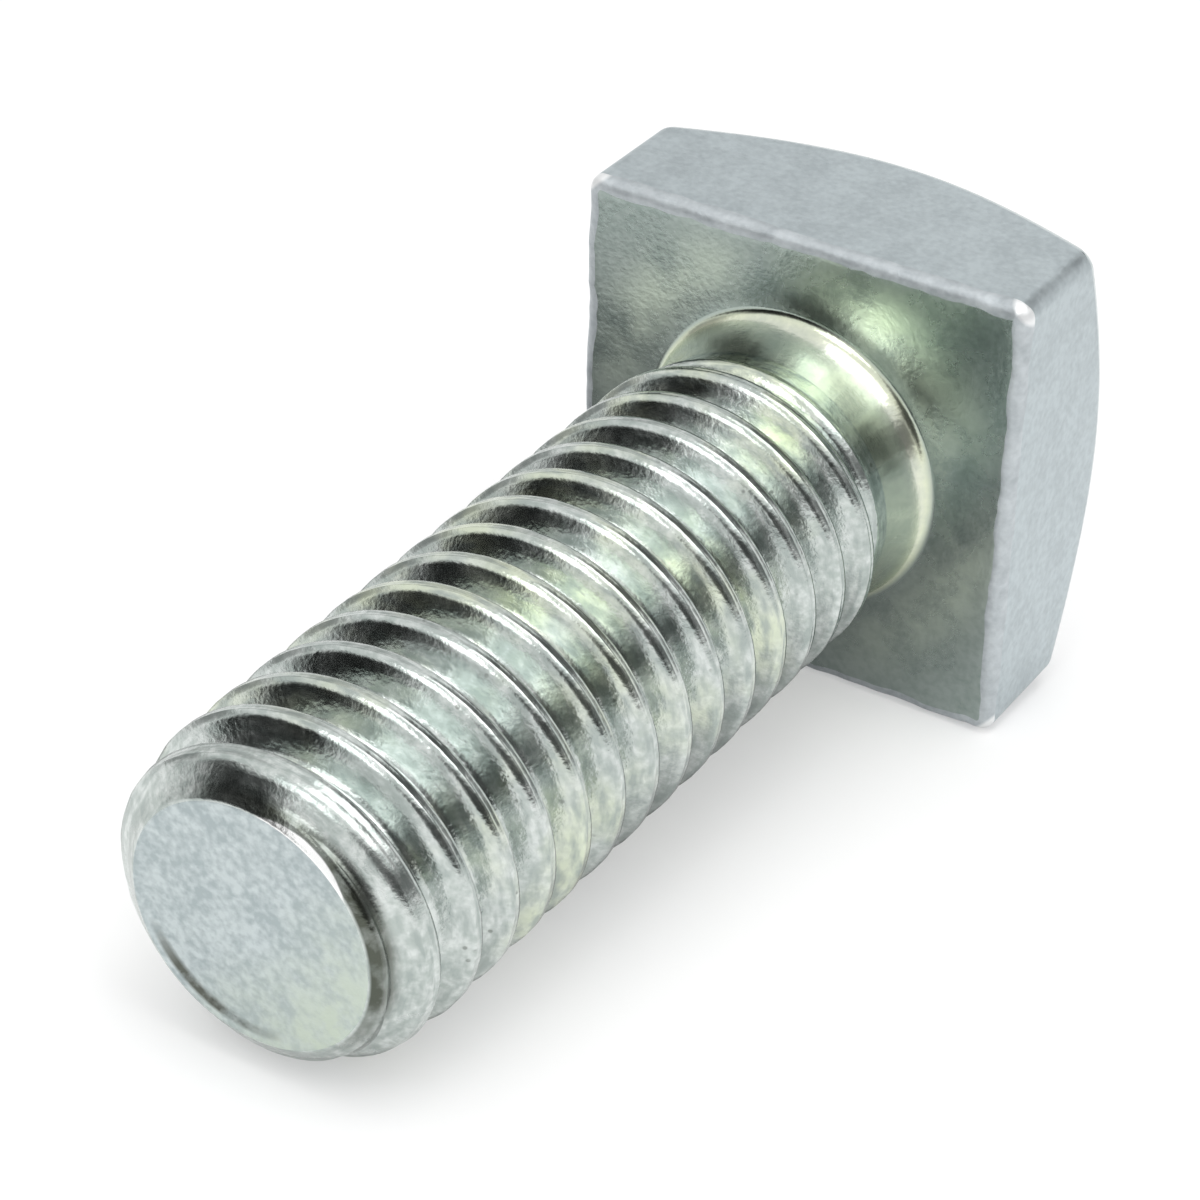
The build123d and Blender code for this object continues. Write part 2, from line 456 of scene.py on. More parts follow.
edge_radii = []
for core, outwards in outline_walk:
    at_corner = (core + outwards * CORNER_R) / MM
    wave = noise.noise(Vector((at_corner.x * WAVES_PER_MM, at_corner.y * WAVES_PER_MM, WAVE_SEED)))
    ripple = noise.noise(Vector((at_corner.x * RIPPLES_PER_MM, at_corner.y * RIPPLES_PER_MM, RIPPLE_SEED)))
    edge_radii.append(EDGE_R * (MEAN_SHARE + WAVE_SHARE * wave + RIPPLE_SHARE * ripple))
print("edge radius:", round(min(edge_radii) / MM, 2), "to", round(max(edge_radii) / MM, 2), "mm")

# %% Draw the bearing face and its soft edge
FACE_STEPS = 12
EDGE_STEPS = 6
ZEROS = [0.0] * COLUMNS


def on_square(inset, height):
    """The square's outline drawn in by an inset and at a height, each given for every column."""
    flat = [core + outwards * (CORNER_R - d) for (core, outwards), d in zip(outline_walk, inset)]
    return [Vector((p.x, p.y, h)) for p, h in zip(flat, height)]


inner = circle(NECK_R + FILLET_OUT, 0.0)
outer = on_square(edge_radii, ZEROS)
for k in range(1, FACE_STEPS + 1):
    ring = add_ring(ring, [a.lerp(b, k / FACE_STEPS) for a, b in zip(inner, outer)], "bearing face")
for k in range(1, EDGE_STEPS + 1):
    a = pi / 2 * k / EDGE_STEPS
    inset = [e * (1 - sin(a)) for e in edge_radii]
    drop = [-e * (1 - cos(a)) for e in edge_radii]
    ring = add_ring(ring, on_square(inset, drop), "edge")
print("bearing face and edge:", FACE_STEPS + EDGE_STEPS, "rings")

# %% [markdown]
# ## The sides and the crown
# The crown's corners are turned off on a cone, so its top is a flat circle and each side ends in a bow.
# A cone could be cut from the block with a Boolean, which leaves ragged triangles. Instead every column
# works out where its own side meets the cone, and the rings bend through that height. Both edges of the
# cone are rounded a little, since the blanks tumble together in plating.

# %% Draw the sides up to the cone
HEAD_HEIGHT = 5.9 * MM
CROWN_FLAT_R = 6.5 * MM
CROWN_SLOPE = tan(radians(31.0))
CONE_ROUNDING = 0.16 * MM
SIDE_STEPS = 12

square = on_square(ZEROS, ZEROS)
cone_starts = [CROWN_SLOPE * (hypot(p.x, p.y) - CROWN_FLAT_R) - HEAD_HEIGHT for p in square]
for k in range(1, SIDE_STEPS + 1):
    heights = [-e + (z + CONE_ROUNDING + e) * k / SIDE_STEPS for e, z in zip(edge_radii, cone_starts)]
    ring = add_ring(ring, on_square(ZEROS, heights), "sides")
print("sides:", SIDE_STEPS, "rings")

# %% Draw the cone and the flat crown, and close the skin
ROUND_STEPS = 5
CONE_STEPS = 8
CROWN_SHARES = (0.95, 0.87, 0.76, 0.63, 0.49, 0.34, 0.19, 0.07)


def crown_ring(place_of):
    """A ring over the crown; the rule gives radius and height from a column's reach and cone start."""
    points = []
    for p, z in zip(square, cone_starts):
        reach = hypot(p.x, p.y)
        spot = place_of(reach, z)
        points.append(Vector((p.x / reach * spot.x, p.y / reach * spot.x, spot.y)))
    return points


down_cone = Vector((cos(atan2(CROWN_SLOPE, 1)), sin(atan2(CROWN_SLOPE, 1)))) * CONE_ROUNDING
flat_rim = Vector((CROWN_FLAT_R, -HEAD_HEIGHT))
for k in range(1, ROUND_STEPS + 1):
    ring = add_ring(ring, crown_ring(lambda r, z: bezier(
        Vector((r, z + CONE_ROUNDING)), Vector((r, z)), Vector((r, z)) - down_cone,
        k / ROUND_STEPS)), "crown cone")
for k in range(1, CONE_STEPS + 1):
    ring = add_ring(ring, crown_ring(lambda r, z: (
        Vector((r, z)) - down_cone).lerp(flat_rim + down_cone, k / CONE_STEPS)), "crown cone")
for k in range(1, ROUND_STEPS + 1):
    ring = add_ring(ring, crown_ring(lambda r, z: bezier(
        flat_rim + down_cone, flat_rim, flat_rim - Vector((CONE_ROUNDING, 0)),
        k / ROUND_STEPS)), "crown flat")
for share in CROWN_SHARES:
    crown_points = crown_ring(lambda r, z: Vector((CROWN_FLAT_R * share, -HEAD_HEIGHT)))
    ring = add_ring(ring, crown_points, "crown flat")
close_ring(ring, Vector((0, 0, -HEAD_HEIGHT)), "crown flat")

open_edges = sum(not e.is_manifold for e in skin.edges)
print("skin:", len(skin.verts), "points,", len(skin.faces), "faces,", open_edges, "open edges")

# %% [markdown]
# ## Lay the bolt down
# The skin is drawn upright, so each point first notes where it sits on the upright bolt. The finishes
# use that note: rings of turning and lines of rolling follow the axis, not the room. Object coordinates
# would run across the bolt at a slant. Then one matrix lays the skin where the solid lies.

# %% Turn the skin into the bolt's mesh and lay it down
bmesh.ops.recalc_face_normals(skin, faces=skin.faces)
for face in skin.faces:
    face.smooth = True
bolt_mesh = bpy.data.meshes.new("dressed_bolt")
skin.to_mesh(bolt_mesh)
skin.free()
upright = bolt_mesh.attributes.new("upright place", "FLOAT_VECTOR", "POINT")
upright.data.foreach_set("vector", [c for v in bolt_mesh.vertices for c in v.co])
bolt_mesh.transform(lay_down)
bolt = bpy.data.objects.new("dressed_bolt", bolt_mesh)
bpy.context.scene.collection.objects.link(bolt)
print("bolt:", sum(len(p.vertices) - 2 for p in bolt_mesh.polygons), "triangles")

# %% [markdown]
# ## Zinc plate, zone by zone
# The whole bolt is one plating: a few microns of bright zinc over steel, passivated to a bluish or
# slightly yellow tint. One metal shader would give it all one look, like chrome. What lies under the
# plate changes it: rolled flanks are burnished and shine, forged sides keep the die's dull skin, the
# crown's cone was turned and the end was sheared. So each zone has the same metal with its own tint,
# its own gloss and its own marks: clouds in the passivation, a fine grain, and lines that follow the
# tool. A mark is a colour and a rule, and the rule says how strongly the colour shows at each place.

# %% Make a zinc finish with clouds, grain and marks
CLOUDS_FROM, CLOUDS_TO = 0.32, 0.68
GLOSS_FROM, GLOSS_TO = 0.3, 0.7
SPECK_SIZE = 0.22


def noise_of(t, place, size, detail):
    """A noise over the upright bolt, with blotches of about a size in millimetres."""
    made = t.nodes.new("ShaderNodeTexNoise")
    made.inputs["Scale"].default_value = 1 / (size * MM)
    made.inputs["Detail"].default_value = detail
    t.links.new(place.outputs["Vector"], made.inputs["Vector"])
    return made


def add_bump(t, noise_node, depth):
    """A bump from a noise, as deep as given in millimetres."""
    bump = t.nodes.new("ShaderNodeBump")
    bump.inputs["Strength"].default_value = 1.0
    bump.inputs["Distance"].default_value = depth * MM
    t.links.new(noise_node.outputs["Fac"], bump.inputs["Height"])
    return bump


def zinc(name, dark, light, gloss, cloud_size, grain, grain_size, lines=None, speckle=0.25, marks=()):
    """Zinc plate between two tints; gloss is the lowest and highest roughness. The grain's height and
    all sizes are in millimetres, and each mark is a colour and the rule that says where it shows."""
    material = bpy.data.materials.new(name)
    material.use_nodes = True
    t = Tree(material.node_tree)
    shader = t.nodes["Principled BSDF"]
    shader.inputs["Metallic"].default_value = 1.0
    place = t.nodes.new("ShaderNodeAttribute")
    place.attribute_name = "upright place"

    clouds = noise_of(t, place, cloud_size, 5.0)
    clouds.inputs["Roughness"].default_value = 0.6
    specks = noise_of(t, place, SPECK_SIZE, 2.0)
    cloudy = t.math("MULTIPLY", t.math("SUBTRACT", specks.outputs["Fac"], 0.5), speckle)
    cloudy = t.math("ADD", clouds.outputs["Fac"], cloudy)
    tint = t.nodes.new("ShaderNodeValToRGB")
    for stop, at, tone in zip(tint.color_ramp.elements, (CLOUDS_FROM, CLOUDS_TO), (dark, light)):
        stop.position = at
        stop.color = (*tone, 1)
    t.links.new(cloudy, tint.inputs["Fac"])
    colour = tint.outputs["Color"]
    for mark_colour, where in marks:
        blend = t.nodes.new("ShaderNodeMix")
        blend.data_type = "RGBA"
        t.links.new(where(t, place, clouds.outputs["Fac"]), blend.inputs["Factor"])
        t.links.new(colour, blend.inputs["A"])
        blend.inputs["B"].default_value = (*mark_colour, 1)
        colour = blend.outputs["Result"]
    t.links.new(colour, shader.inputs["Base Color"])
    t.links.new(t.ramp(clouds.outputs["Fac"], GLOSS_FROM, GLOSS_TO, *gloss), shader.inputs["Roughness"])

    bump = add_bump(t, noise_of(t, place, grain_size, 3.0), grain)
    t.links.new(bump.outputs["Normal"], shader.inputs["Normal"])
    if lines:
        add_tool_lines(t, place, bump, *lines)
    return material


print("zinc finish ready")

# %% [markdown]
# ### Lines that follow the tool
# A turning tool leaves rings round the axis, and rolling dies leave fine lines along the thread. An
# image of brushed metal would show its edges and repeat. A noise that is squeezed across the lines and
# stretched along them never repeats, and takes its direction from the distance, angle and height.

# %% Find a point's place round the axis, and draw tool lines there
def round_axis(t, place):
    """Distance from the axis, angle round it, and height along it, for the upright bolt."""
    apart = t.nodes.new("ShaderNodeSeparateXYZ")
    t.links.new(place.outputs["Vector"], apart.inputs["Vector"])
    x, y, z = apart.outputs["X"], apart.outputs["Y"], apart.outputs["Z"]
    reach = t.math("SQRT", t.math("ADD", t.math("MULTIPLY", x, x), t.math("MULTIPLY", y, y)))
    return reach, t.math("ARCTAN2", y, x), z


def across_thread(t, angle, height, width):
    """How far a point is along the axis from its turn of the thread, counted in widths."""
    climb = t.math("SUBTRACT", height, t.math("MULTIPLY", angle, PITCH / (2 * pi)))
    return t.math("MULTIPLY", climb, 1 / (width * MM))


def streak_noise(t, point, detail):
    """A noise on a point that is already squeezed and stretched."""
    streaks = t.nodes.new("ShaderNodeTexNoise")
    streaks.inputs["Scale"].default_value = 1.0
    streaks.inputs["Detail"].default_value = detail
    t.links.new(point.outputs[0], streaks.inputs["Vector"])
    return streaks


def add_tool_lines(t, place, bump, kind, width, depth):
    """Lines round the axis or along the thread, added to a bump; sizes are in millimetres."""
    reach, angle, height = round_axis(t, place)
    point = t.nodes.new("ShaderNodeCombineXYZ")
    if kind == "turned":
        t.feed(point.inputs["X"], t.math("MULTIPLY", reach, 1 / (width * MM)))
    else:
        t.feed(point.inputs["X"], across_thread(t, angle, height, width))
        t.feed(point.inputs["Z"], t.math("MULTIPLY", reach, 1 / (width * MM)))
    t.feed(point.inputs["Y"], t.math("MULTIPLY", t.math("COSINE", angle), 1.5))
    lines = add_bump(t, streak_noise(t, point, 2.0), depth)
    t.links.new(lines.outputs["Normal"], bump.inputs["Normal"])


print("tool lines ready")

# %% [markdown]
# ### Marks under the head
# Round the neck the forged face is dull and cloudy, with a painted highlight: pale blooms towards its
# corners, strongest on one side. The radius is bright, and yellower where rinse water stood on it, and
# its foot is painted shade, as dark as the face. The four corners are painted nearly white, partly wear
# from rubbing and partly a painted glint. Painting these by hand would need an image. Rules do without:
# a band of distances from the axis, a side that it is strongest on, and the finish's own clouds to break
# it up. Every rule takes the same three things, whether it needs them all or not, so that any of them can
# go on any finish.

# %% Write the rules for the marks under the head
FACE_FROM_R = NECK_R + FILLET_OUT
CORNER_REACH = sqrt(2) * (HALF_FLATS - CORNER_R) + CORNER_R
BLOOM_R = FACE_FROM_R + 1.17 * MM
BLOOM_WIDTH = 1.0 * MM
BLOOM_TURN = 0.2
BLOOM_SIDE = 1.0


def toward(t, angle, side):
    """1 on the side that an angle points to, and -1 on the far side."""
    return t.math("COSINE", t.math("SUBTRACT", angle, side))


def painted_highlight_bloom(t, place, clouds):
    """Painted highlight: pale blooms round the neck, towards the four corners, strongest on one side."""
    reach, angle, _ = round_axis(t, place)
    off = t.math("MULTIPLY", t.math("SUBTRACT", reach, BLOOM_R), 1 / BLOOM_WIDTH)
    ring = t.math("EXPONENT", t.math("MULTIPLY", t.math("MULTIPLY", off, off), -1.0))
    turned = t.math("MULTIPLY", t.math("SUBTRACT", angle, BLOOM_TURN), 2.0)
    corner = t.math("ABSOLUTE", t.math("SINE", turned))
    side = t.ramp(toward(t, angle, BLOOM_SIDE), -0.2, 0.9, 0.45, 1.0)
    bloom = t.math("MULTIPLY", t.math("MULTIPLY", ring, corner), side)
    return t.math("MULTIPLY", bloom, t.ramp(clouds, 0.36, 0.58, 0.15, 1.0))


def fillet_tint(t, place, clouds):
    """The outer part of the radius, where rinse water stood and left the tint yellower."""
    reach, _, _ = round_axis(t, place)
    outer_part = t.ramp(reach, NECK_R + 0.12 * MM, NECK_R + 0.47 * MM, 0.0, 0.8)
    return t.math("MULTIPLY", outer_part, t.ramp(clouds, 0.35, 0.6, 0.4, 1.0))


def painted_shade_at_fillet_foot(t, place, clouds):
    """Painted shade at the foot of the radius, as dark as the bearing face that it runs into."""
    reach, _, _ = round_axis(t, place)
    return t.ramp(reach, FACE_FROM_R - 0.23 * MM, FACE_FROM_R - 0.05 * MM, 0.0, 1.0)


def rubbed_corner_glint(t, place, clouds):
    """The four corners under the head, worn by rubbing in plating and partly a painted glint."""
    reach, _, _ = round_axis(t, place)
    return t.ramp(reach, CORNER_REACH - 0.27 * MM, CORNER_REACH - 0.17 * MM, 0.0, 0.9)


print("marks under the head ready")

# %% [markdown]
# ### Marks on the tip
# The shear left more than a lip. On one side of the chamfer a dark ring is a painted dark reflection,
# with a bright crescent beside it as a painted glint, and painted shade lies behind the lip. A yellower
# patch of passivation covers part of the end. Each of these is a band between two radii that fades to
# both sides.

# %% Write the rules for the marks on the tip
DARK_RING_SIDE = 0.6
CRESCENT_SIDE = radians(60)
CRESCENT_R = END_R + 0.01 * MM
CRESCENT_WIDTH = 0.17 * MM
LIP_SHADE_SIDE = radians(243)
WARM_SIDE = -0.7


def band(t, value, start, full, fade, end):
    """1 between full and fade, and 0 before the start and past the end."""
    return t.math("MULTIPLY", t.ramp(value, start, full, 0.0, 1.0), t.ramp(value, fade, end, 1.0, 0.0))


def painted_dark_ring(t, place, clouds):
    """A painted dark reflection: a ring round the cut end on the chamfer, strongest on one side."""
    reach, angle, height = round_axis(t, place)
    ring = band(t, reach, END_R + 0.02 * MM, END_R + 0.08 * MM, END_R + 0.27 * MM, END_R + 0.53 * MM)
    ring = t.math("MULTIPLY", ring, t.ramp(height, SHANK - 1.0 * MM, SHANK - 0.55 * MM, 0.0, 1.0))
    side = t.ramp(toward(t, angle, DARK_RING_SIDE), 0.1, 0.7, 0.15, 1.0)
    return t.math("MULTIPLY", t.math("MULTIPLY", ring, side), t.ramp(clouds, 0.35, 0.55, 0.6, 1.0))


def painted_rim_glint(t, place, clouds):
    """A painted glint: a bright crescent beside the cut end, on one side of the chamfer."""
    reach, angle, _ = round_axis(t, place)
    side = toward(t, angle, CRESCENT_SIDE)
    outer = t.math("ADD", t.ramp(side, 0.90, 1.0, 0.0, CRESCENT_WIDTH), CRESCENT_R)
    inside = t.ramp(t.math("SUBTRACT", outer, reach), -0.01 * MM, 0.02 * MM, 0.0, 1.0)
    crescent = t.math("MULTIPLY", inside, t.ramp(reach, END_R - 0.05 * MM, END_R - 0.02 * MM, 0.0, 1.0))
    return t.math("MULTIPLY", crescent, t.ramp(side, 0.90, 0.93, 0.0, 1.0))


def lip_shadow(t, place, clouds):
    """Painted shade behind the lip that the shear left on the cut end."""
    reach, angle, _ = round_axis(t, place)
    ring = band(t, reach, LIP_R - 0.26 * MM, LIP_R - 0.14 * MM, LIP_R - 0.04 * MM, LIP_R + 0.04 * MM)
    side = t.ramp(toward(t, angle, LIP_SHADE_SIDE), 0.72, 0.95, 0.0, 1.0)
    return t.math("MULTIPLY", t.math("MULTIPLY", ring, side), t.ramp(clouds, 0.38, 0.55, 0.35, 1.0))


def warm_patch(t, place, clouds):
    """A yellower part of the passivation on one side of the cut end."""
    reach, angle, _ = round_axis(t, place)
    out = t.math("MULTIPLY", toward(t, angle, WARM_SIDE), t.ramp(reach, 0.6 * MM, 2.8 * MM, 0.0, 1.0))
    return t.math("MULTIPLY", t.math("MAXIMUM", out, 0.0), t.ramp(clouds, 0.35, 0.6, 0.3, 0.9))


print("marks on the tip ready")

# %% [markdown]
# ### Marks on the thread
# The thread was rolled, so fine dark streaks run along it. The passivation took more in some places and
# left broad yellow-green clouds, and here and there a pit shows where the plate didn't cover the steel.
# Pits could be modelled, but at a tenth of a millimetre a dark dot of colour reads the same. The cells
# of a Voronoi texture place them.

# %% Write the rules for the marks on the thread
STREAK_WIDTH = 0.16
PIT_SPACING = 0.75
TINT_SIZE = 3.2


def rolling_streaks(t, place, clouds):
    """Fine dark streaks that the rolling dies drew along the thread."""
    _, angle, height = round_axis(t, place)
    along = t.nodes.new("ShaderNodeCombineXYZ")
    t.feed(along.inputs["X"], across_thread(t, angle, height, STREAK_WIDTH))
    t.feed(along.inputs["Y"], t.math("MULTIPLY", t.math("COSINE", angle), 5.0))
    t.feed(along.inputs["Z"], t.math("MULTIPLY", t.math("SINE", angle), 5.0))
    return t.ramp(streak_noise(t, along, 3.0).outputs["Fac"], 0.44, 0.64, 0.0, 0.8)


def passivation_tint(t, place, clouds):
    """Broad yellow-green clouds, where the passivation bath took more."""
    broad = noise_of(t, place, TINT_SIZE, 3.0)
    return t.ramp(broad.outputs["Fac"], 0.48, 0.66, 0.0, 0.75)


def pits(t, place, clouds):
    """Small dark pits, where the steel lay bare under the plate."""
    cells = t.nodes.new("ShaderNodeTexVoronoi")
    cells.inputs["Scale"].default_value = 1 / (PIT_SPACING * MM)
    t.links.new(place.outputs["Vector"], cells.inputs["Vector"])
    return t.math("MULTIPLY", t.ramp(cells.outputs["Distance"], 0.055, 0.105, 0.75, 0.0),
                  t.ramp(clouds, 0.44, 0.52, 0.0, 1.0))


print("marks on the thread ready")

# %% [markdown]
# ### Plate the bolt
# Tints and gloss are plain values, one set for each zone. The thread and the tip's chamfer are the
# glossiest, the forged sides and the cut end the dullest, and the bearing face is the darkest, partly its
# own tint and partly a painted shade for the shaded floor that it reflects. The bolt then takes the
# solid's place in the frame and rides on its body, which never moves.

# %% Mix the nine finishes
THREAD_TINTS = ((0.47, 0.52, 0.495), (0.67, 0.71, 0.69))
CROWN_TINTS = ((0.50, 0.56, 0.57), (0.66, 0.71, 0.71))
STREAKED = ((0.36, 0.41, 0.39), rolling_streaks)
ROLLED_LINES = ("rolled", 0.10, 0.0015)

finishes = {
    "thread": zinc("zinc plate on the rolled thread", *THREAD_TINTS, (0.13, 0.24), 0.9, 0.009, 0.14,
                   ROLLED_LINES, speckle=0.9,
                   marks=[((0.70, 0.76, 0.58), passivation_tint), STREAKED, ((0.22, 0.24, 0.22), pits)]),
    # The dark foot of the neck's radius is painted shade.
    "neck": zinc("zinc plate on the neck", (0.60, 0.64, 0.57), (0.80, 0.82, 0.72), (0.13, 0.20), 2.0,
                 0.004, 0.14, ("rolled", 0.12, 0.002), speckle=0.4,
                 marks=[((0.72, 0.78, 0.50), fillet_tint), ((0.38, 0.44, 0.40), painted_shade_at_fillet_foot)]),
    # The bearing face's darker tints are partly painted shade, and its blooms a painted highlight.
    "bearing face": zinc("zinc plate under the head", (0.28, 0.34, 0.315), (0.40, 0.46, 0.435),
                         (0.22, 0.33), 2.4, 0.010, 0.18, speckle=0.6,
                         marks=[((0.80, 0.91, 0.74), painted_highlight_bloom)]),
    # The edge's nearly white corners are partly wear and partly a painted glint.
    "edge": zinc("zinc plate on the soft edge", (0.46, 0.50, 0.52), (0.62, 0.66, 0.68), (0.46, 0.56), 1.0,
                 0.012, 0.16, speckle=0.5, marks=[((0.97, 0.98, 0.98), rubbed_corner_glint)]),
    "sides": zinc("zinc plate on the forged sides", (0.455, 0.51, 0.53), (0.565, 0.625, 0.645),
                  (0.38, 0.50), 1.4, 0.016, 0.15, speckle=0.7),
    "crown cone": zinc("zinc plate on the turned cone", *CROWN_TINTS, (0.15, 0.24), 2.2, 0.003, 0.12,
                       ("turned", 0.11, 0.022)),
    "crown flat": zinc("zinc plate on the crown", *CROWN_TINTS, (0.30, 0.42), 2.2, 0.008, 0.16),
    # The chamfer's dark ring is a painted dark reflection and its bright crescent a painted glint.
    "chamfer": zinc("zinc plate on the tip's chamfer", *THREAD_TINTS, (0.17, 0.29), 0.9, 0.009, 0.14,
                    ROLLED_LINES, speckle=0.9,
                    marks=[STREAKED, ((0.10, 0.11, 0.09), painted_dark_ring), ((0.97, 0.98, 0.97), painted_rim_glint)]),
    # The cut end's dark band behind the lip is painted shade.
    "cut end": zinc("zinc plate on the cut end", (0.41, 0.47, 0.48), (0.60, 0.66, 0.665), (0.40, 0.52),
                    0.8, 0.020, 0.11, speckle=0.9,
                    marks=[((0.60, 0.67, 0.57), warm_patch), ((0.14, 0.15, 0.13), lip_shadow)]),
}
print("finishes:", len(finishes))

# %% Plate the mesh and let it replace the solid
for zone in ZONES:
    bolt_mesh.materials.append(finishes[zone])
bpy.data.materials.remove(bare_steel)
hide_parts("square_head_bolt")
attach(bolt, "root")
print("plated zones:", len(bolt_mesh.materials))

# %% [markdown]
# ## The floor
# Bright metal shows what stands round it, and a white floor gives it clean highlights. The floor is a
# matt sheet that catches the bolt's soft shadow. Lighting it until it is white would burn the metal out.
# Instead its material glows plain white to the camera and to reflections, at a strength of 1. Close to
# the bolt the glow is weak, so that the shadow shows, and further out it takes over.

# %% Lay a floor that turns white but keeps the shadow
FLOOR_HALF = 0.6
SHADOW_SHARE = 0.32
SHADOW_REACH = 0.04
WHITE_FROM = 0.10


def staged(name, mesh_points, faces, material):
    """A piece of the stage, which is never part of the bolt."""
    mesh = bpy.data.meshes.new(name)
    mesh.from_pydata(mesh_points, [], faces)
    mesh.materials.append(material)
    obj = bpy.data.objects.new(name, mesh)
    bpy.context.scene.collection.objects.link(obj)
    return obj


def seen_plainly(t):
    """1 where a camera, glossy or transmission ray looks, and 0 where light is gathered."""
    rays = t.nodes.new("ShaderNodeLightPath")
    seen = t.math("MAXIMUM", rays.outputs["Is Camera Ray"], rays.outputs["Is Glossy Ray"])
    return t.math("MAXIMUM", seen, rays.outputs["Is Transmission Ray"])


def pale_floor():
    """Matt white that glows to the eye alone, weakly near the bolt and fully further out."""
    material = bpy.data.materials.new("pale floor")
    material.use_nodes = True
    t = Tree(material.node_tree)
    sheet = t.nodes["Principled BSDF"]
    sheet.inputs["Base Color"].default_value = (0.97, 0.97, 0.97, 1)
    sheet.inputs["Roughness"].default_value = 0.9
    sheet.inputs["Specular IOR Level"].default_value = 0.0
    place = t.nodes.new("ShaderNodeTexCoord")
    reach = t.nodes.new("ShaderNodeVectorMath")
    reach.operation = "LENGTH"
    t.links.new(place.outputs["Object"], reach.inputs[0])
    share = t.ramp(reach.outputs["Value"], SHADOW_REACH, WHITE_FROM, SHADOW_SHARE, 1.0)
    mix = t.nodes.new("ShaderNodeMixShader")
    t.links.new(t.math("MULTIPLY", seen_plainly(t), share), mix.inputs["Fac"])
    t.links.new(sheet.outputs["BSDF"], mix.inputs[1])
    t.links.new(t.nodes.new("ShaderNodeEmission").outputs["Emission"], mix.inputs[2])
    t.links.new(mix.outputs["Shader"], t.nodes["Material Output"].inputs["Surface"])
    return material


floor_z = cad_box[0][2]
floor_corners = [(x * FLOOR_HALF, y * FLOOR_HALF, floor_z) for x, y in ((-1, -1), (1, -1), (1, 1), (-1, 1))]
staged("floor", floor_corners, [(0, 1, 2, 3)], pale_floor())
print("floor at", round(floor_z / MM, 3), "mm")

# %% [markdown]
# ## The room and the lamps
# The room is white to the eye and dimmer as a light, so that the lamps shape the metal. One large softbox
# overhead and one at the side light the bolt evenly. They are kept out of reflections, where they
# would burn the flat faces out. A smaller softbox and two strips do show there: they put the white lines
# in the grooves, on the tip and along the neck.

# %% Light the room
ROOM_LIGHT = 0.55

world = bpy.data.worlds.new("white room")
bpy.context.scene.world = world
world.use_nodes = True
room = Tree(world.node_tree)
background = room.nodes["Background"]
background.inputs["Color"].default_value = (1, 1, 1, 1)
strength = room.ramp(seen_plainly(room), 0.0, 1.0, ROOM_LIGHT, 1.0)
room.links.new(strength, background.inputs["Strength"])
print("room light:", ROOM_LIGHT)

# %% Hang the lamps
middle = (Vector(cad_box[0]) + Vector(cad_box[1])) / 2


def soft_lamp(name, offset, size, power, in_reflections=True):
    """A rectangular lamp at an offset from the bolt, turned to face it."""
    lamp = bpy.data.lights.new(name, "AREA")
    lamp.shape = "RECTANGLE"
    lamp.size, lamp.size_y = size
    lamp.energy = power
    obj = bpy.data.objects.new(name, lamp)
    obj.location = middle + Vector(offset)
    obj.rotation_euler = (-Vector(offset)).to_track_quat("-Z", "Y").to_euler()
    obj.visible_glossy = in_reflections
    bpy.context.scene.collection.objects.link(obj)


soft_lamp("overhead softbox", (-0.02, 0.05, 0.30), (0.40, 0.34), 0.45, in_reflections=False)
soft_lamp("side softbox", (-0.28, -0.20, 0.16), (0.16, 0.16), 0.20, in_reflections=False)
soft_lamp("softbox for the grooves", (-0.02, -0.11, 0.22), (0.16, 0.22), 0.19)
soft_lamp("strip for the tip's highlights", (-0.20, -0.02, 0.13), (0.10, 0.05), 0.035)
soft_lamp("strip for the neck's highlight", (-0.15, 0.00, 0.17), (0.08, 0.05), 0.04)
print("lamps:", len(bpy.data.lights))

# %% [markdown]
# ## Dark cards
# In an all-white room, plated metal looks like white plastic. A product photographer holds dark and grey
# cards near it, and they draw the black bands that make it read as metal. These cards are seen in
# reflections only, so they shade nothing, and they fade to clear towards their edges, so that no band
# ends in a hard line and two cards can overlap. The last one is a painted shadow: a dark sheet on the
# floor at the bolt's left, standing in for shade there, and it dims what the lower flanks and the
# underside of the head reflect.

# %% Make a card that only reflections see
CARD_TURNS = ((-1, -1), (1, -1), (1, 1), (-1, 1))
FADE_FROM = 0.55
CORNER_SOFTNESS = 0.3


def card_tone(name, tone):
    """A glow of an even tone that fades to clear at the card's edges."""
    material = bpy.data.materials.new(name)
    material.use_nodes = True
    t = Tree(material.node_tree)
    t.nodes.remove(t.nodes["Principled BSDF"])
    glow = t.nodes.new("ShaderNodeEmission")
    glow.inputs["Strength"].default_value = tone
    place = t.nodes.new("ShaderNodeUVMap")
    apart = t.nodes.new("ShaderNodeSeparateXYZ")
    t.links.new(place.outputs["UV"], apart.inputs["Vector"])
    edge = [t.math("MULTIPLY", t.math("ABSOLUTE", t.math("SUBTRACT", apart.outputs[axis], 0.5)), 2.0)
            for axis in ("X", "Y")]
    far = t.math("SMOOTH_MAX", edge[0], edge[1], CORNER_SOFTNESS)
    fade = t.nodes.new("ShaderNodeMixShader")
    t.links.new(t.ramp(far, FADE_FROM, 1.0, 0.0, 1.0), fade.inputs["Fac"])
    t.links.new(glow.outputs["Emission"], fade.inputs[1])
    t.links.new(t.nodes.new("ShaderNodeBsdfTransparent").outputs["BSDF"], fade.inputs[2])
    t.links.new(fade.outputs["Shader"], t.nodes["Material Output"].inputs["Surface"])
    return material


def hang_card(name, corners, tone):
    """Stages a card, gives it its fade and keeps it out of everything but reflections."""
    made = staged(name, corners, [(0, 1, 2, 3)], card_tone(name, tone))
    layer = made.data.uv_layers.new(name="card")
    for loop, (x, y) in zip(layer.data, CARD_TURNS):
        loop.uv = ((x + 1) / 2, (y + 1) / 2)
    made.visible_camera = made.visible_diffuse = False
    made.visible_transmission = made.visible_shadow = False


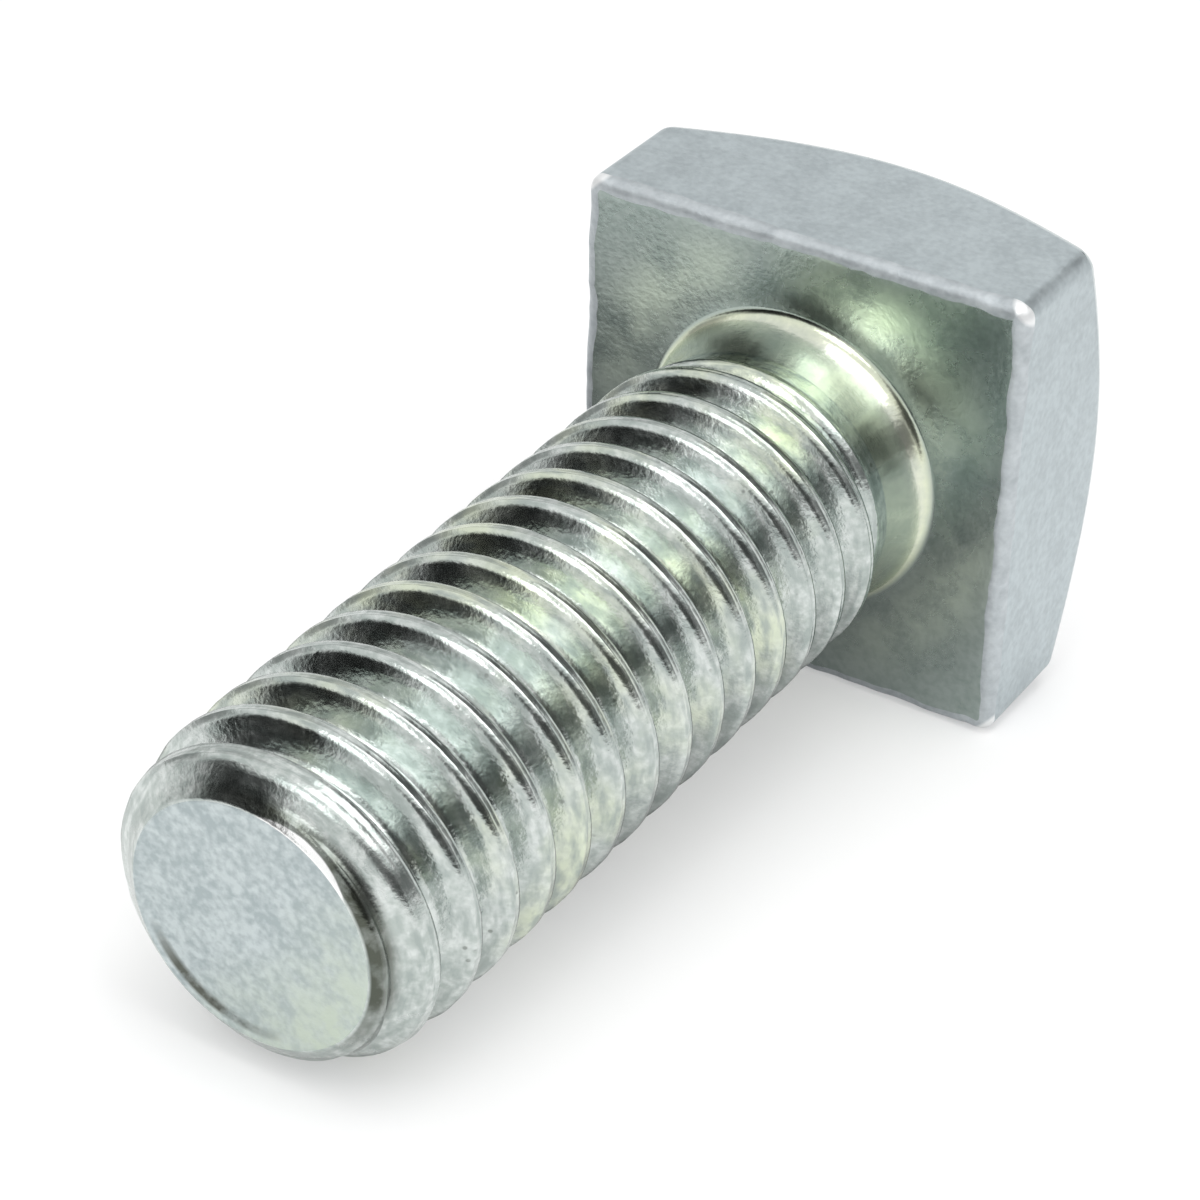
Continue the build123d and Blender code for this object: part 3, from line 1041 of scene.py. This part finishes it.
def card(name, azimuth, elevation, spread, tone, distance=0.25):
    """A card square to a direction from the bolt; its place and half width are in degrees."""
    a, e = radians(azimuth), radians(elevation)
    facing = Vector((cos(a) * cos(e), sin(a) * cos(e), sin(e)))
    across = facing.cross(Vector((0, 0, 1))).normalized()
    up = across.cross(facing)
    at = middle + facing * distance
    reach = [distance * tan(radians(part)) for part in spread]
    hang_card(name, [at + across * x * reach[0] + up * y * reach[1] for x, y in CARD_TURNS], tone)


print("card helpers ready")

# %% Hang the cards, and shade the floor on the left
card("dark card beyond the tip", 147, 12, (29, 24), tone=0.02)
card("grey card on the left", 92, 6, (26, 20), tone=0.42)
card("dark card by the camera", -132, 8, (26, 22), tone=0.08, distance=0.07)
card("dark card on the right", -82, 15, (38, 15), tone=0.22)
card("dark card behind the head", -32, 42, (32, 18), tone=0.14)
card("grey card behind the head", 54, 38, (26, 22), tone=0.66)

# A painted shadow: a dark sheet on the floor, seen only in reflections.
SHADE_ABOVE_FLOOR = 0.02 * MM
shade_corners = [Vector((x * MM, y * MM, floor_z + SHADE_ABOVE_FLOOR))
                 for x, y in ((-8, -9), (16, -9), (16, 26), (-8, 26))]
hang_card("shaded floor on the left", shade_corners, 0.26)
print("cards hung")

# %% [markdown]
# ## The camera
# It looks down on the bolt from beyond the tip, so the end, the whole thread, the face under the head
# and two of its sides are in view. A long lens keeps the head from shrinking away behind the tip. A
# camera that tracks its target would stay level, so the two directions across its view are worked out
# here and rolled a little.

# %% Aim the camera
CAMERA_AT = Vector((-72.6, -41.6, 52.7)) * MM
AIM_AT = Vector((0.2, 0.4, 6.2)) * MM
ROLL = 0.083
LENS = 108.0

camera_data = bpy.data.cameras.new("camera")
camera_data.sensor_width = 36.0
camera_data.lens = LENS
camera_data.clip_start = 0.005
camera = bpy.data.objects.new("camera", camera_data)
bpy.context.scene.collection.objects.link(camera)
bpy.context.scene.camera = camera
look = (AIM_AT - CAMERA_AT).normalized()
right = look.cross(Vector((0, 0, 1))).normalized()
up = right.cross(look)
right, up = cos(ROLL) * right + sin(ROLL) * up, cos(ROLL) * up - sin(ROLL) * right
camera.location = CAMERA_AT
camera.rotation_euler = Matrix((right, up, -look)).transposed().to_euler()
bpy.context.scene.view_settings.view_transform = "Standard"
print("camera at", [round(v / MM, 1) for v in camera.location], "mm")
